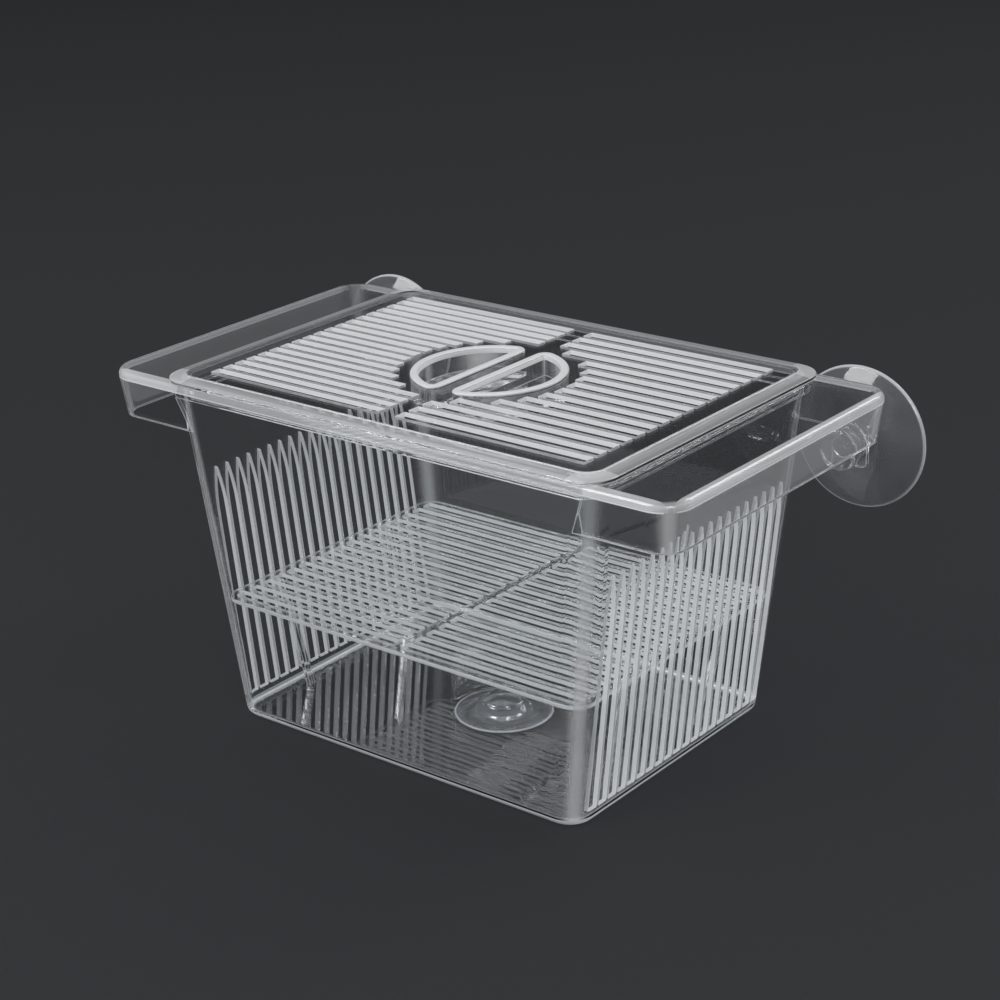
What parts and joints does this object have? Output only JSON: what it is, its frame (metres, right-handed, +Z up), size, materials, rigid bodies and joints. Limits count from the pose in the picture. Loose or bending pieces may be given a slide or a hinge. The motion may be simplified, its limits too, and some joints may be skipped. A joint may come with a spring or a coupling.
{
  "type": "fish breeding box",
  "caption": "Clear hang-in breeding box with slotted end walls, slotted lid with finger wells, slotted shelf on legs and suction cups hooked under two hollow wings.",
  "frame": {"origin": "centre of the tub's flat underside", "axes": "+X along the box from wing to wing, +Y to the back where the suction cups meet the glass, +Z up"},
  "size_m": [0.2142, 0.1157, 0.1072],
  "materials": {
    "clear_plastic": "clear, polished",
    "soft_cup": "soft, translucent, smooth"
  },
  "bodies": {
    "tub": {"tub": "clear_plastic", "floor_cup": "soft_cup"},
    "lid": {"lid": "clear_plastic"},
    "divider": {"divider": "clear_plastic"},
    "cup_left": {"suction_cup_left": "soft_cup"},
    "cup_right": {"suction_cup_right": "soft_cup"}
  },
  "joints": [
    {"name": "lid_lift", "type": "slide", "parent": "tub", "child": "lid", "axis": [0, 0, 1], "range_m": [0, 0.06]},
    {"name": "divider_lift", "type": "slide", "parent": "tub", "child": "divider", "axis": [0, 0, 1], "range_m": [0, 0.055]},
    {"name": "cup_left_unhook", "type": "slide", "parent": "tub", "child": "cup_left", "axis": [0, 0, -1], "range_m": [0, 0.03]},
    {"name": "cup_right_unhook", "type": "slide", "parent": "tub", "child": "cup_right", "axis": [0, 0, -1], "range_m": [0, 0.03]}
  ]
}
